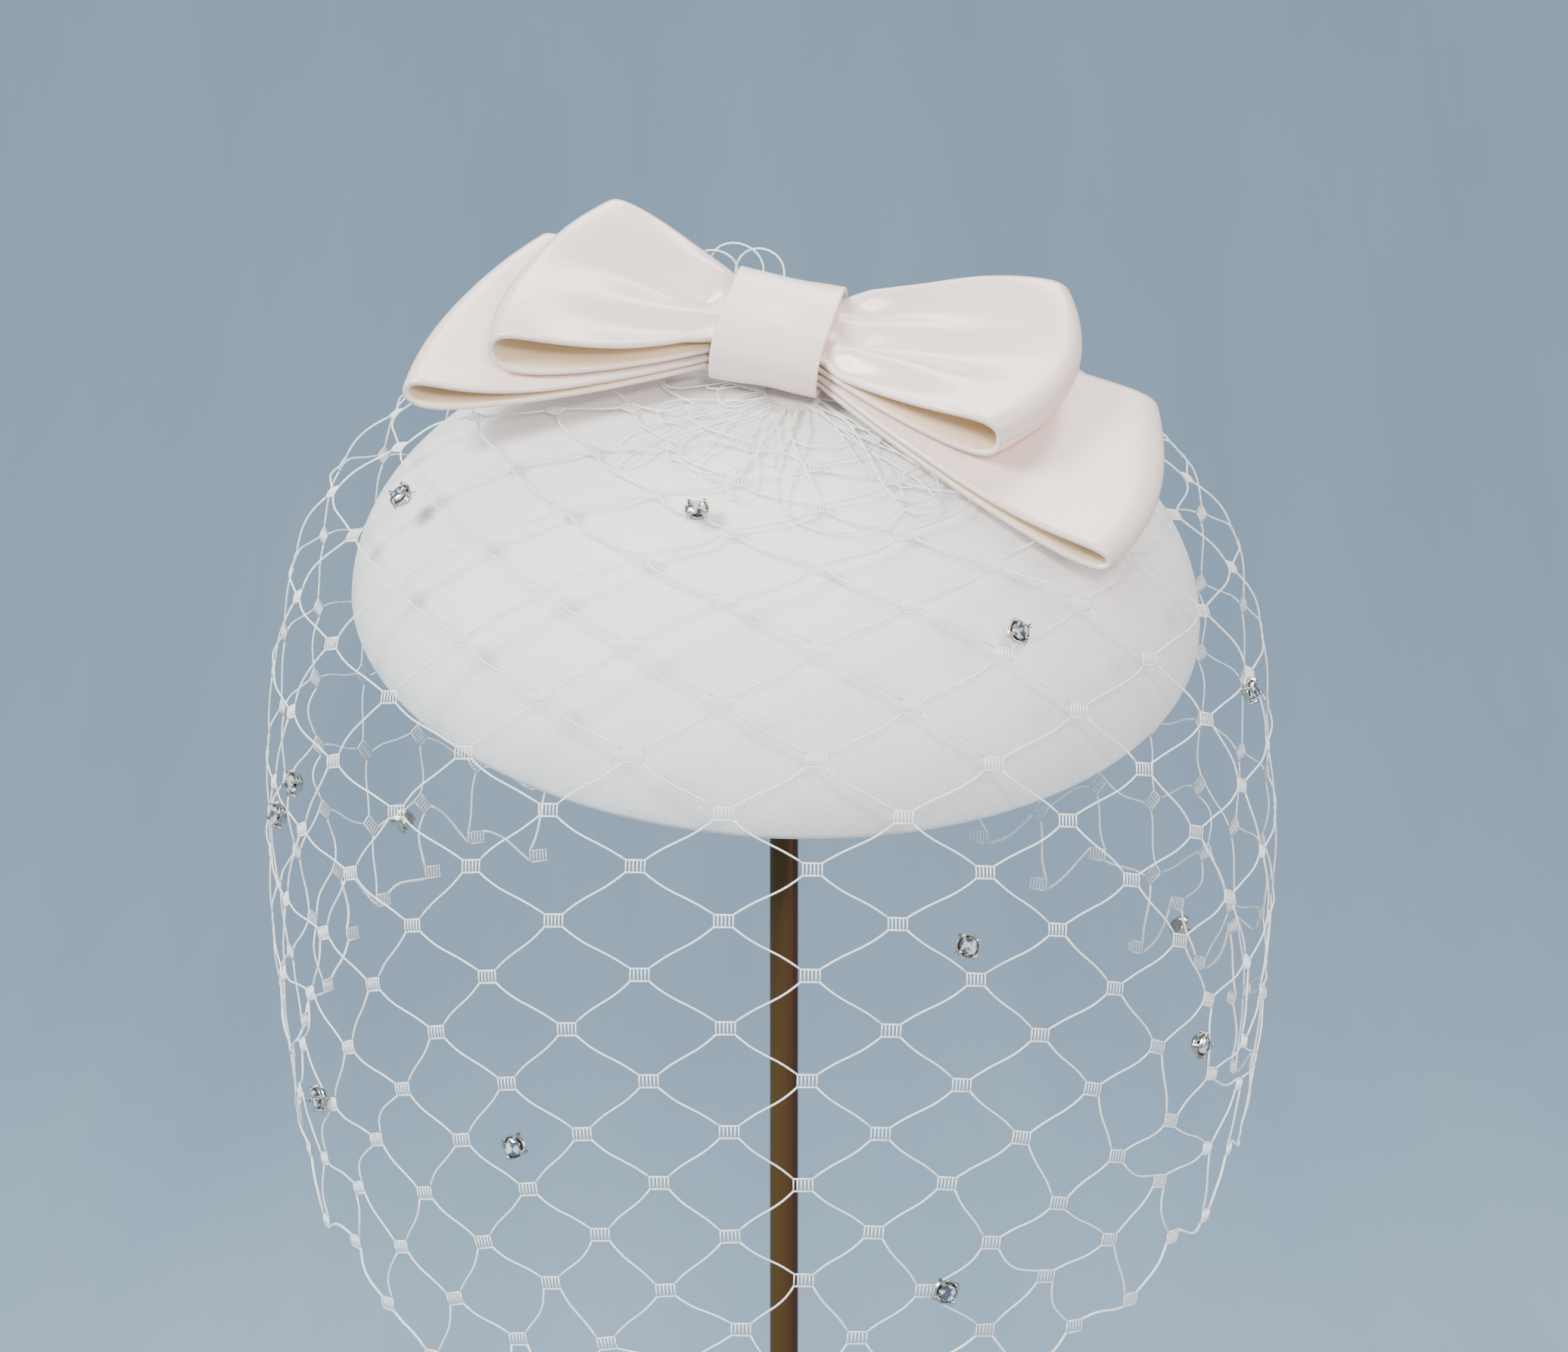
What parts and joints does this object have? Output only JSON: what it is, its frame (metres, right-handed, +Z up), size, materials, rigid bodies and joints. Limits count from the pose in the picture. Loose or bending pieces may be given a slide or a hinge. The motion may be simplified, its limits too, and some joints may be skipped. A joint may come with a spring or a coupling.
{
  "type": "pillbox hat with birdcage veil on a display stand",
  "caption": "Low domed satin pillbox hat with a two-tier bow and a gathered birdcage veil set with crystals, tipped forward on a plain rod stand with a round base.",
  "frame": {"origin": "centre of the underside of the stand's round base", "axes": "+Z up along the post; the hat's front faces -Y; +X is on the right of someone looking at the front"},
  "size_m": [0.195, 0.1643, 0.3134],
  "materials": {
    "stand_metal": "dark bronze lacquer on steel",
    "crown_satin": "ivory dull satin over a blocked shell",
    "veil_net": "off-white stiff diamond netting",
    "bow_satin": "blush ivory duchess satin",
    "setting_metal": "bright plated claw cup",
    "crystal": "clear cut crystal with foiled back"
  },
  "bodies": {
    "root": {"stand_base": "stand_metal", "stand_post": "stand_metal", "stand_pad": "stand_metal", "crown": "crown_satin", "veil": "veil_net", "bow_upper_left_loop": "bow_satin", "bow_lower_left_loop": "bow_satin", "bow_upper_right_loop": "bow_satin", "bow_lower_right_loop": "bow_satin", "bow_knot": "bow_satin", "setting_01": "setting_metal", "crystal_01": "crystal", "setting_02": "setting_metal", "crystal_02": "crystal", "setting_03": "setting_metal", "crystal_03": "crystal", "setting_04": "setting_metal", "crystal_04": "crystal", "setting_05": "setting_metal", "crystal_05": "crystal", "setting_06": "setting_metal", "crystal_06": "crystal", "setting_07": "setting_metal", "crystal_07": "crystal", "setting_08": "setting_metal", "crystal_08": "crystal", "setting_09": "setting_metal", "crystal_09": "crystal", "setting_10": "setting_metal", "crystal_10": "crystal", "setting_11": "setting_metal", "crystal_11": "crystal", "setting_12": "setting_metal", "crystal_12": "crystal", "setting_13": "setting_metal", "crystal_13": "crystal"}
  },
  "joints": []
}
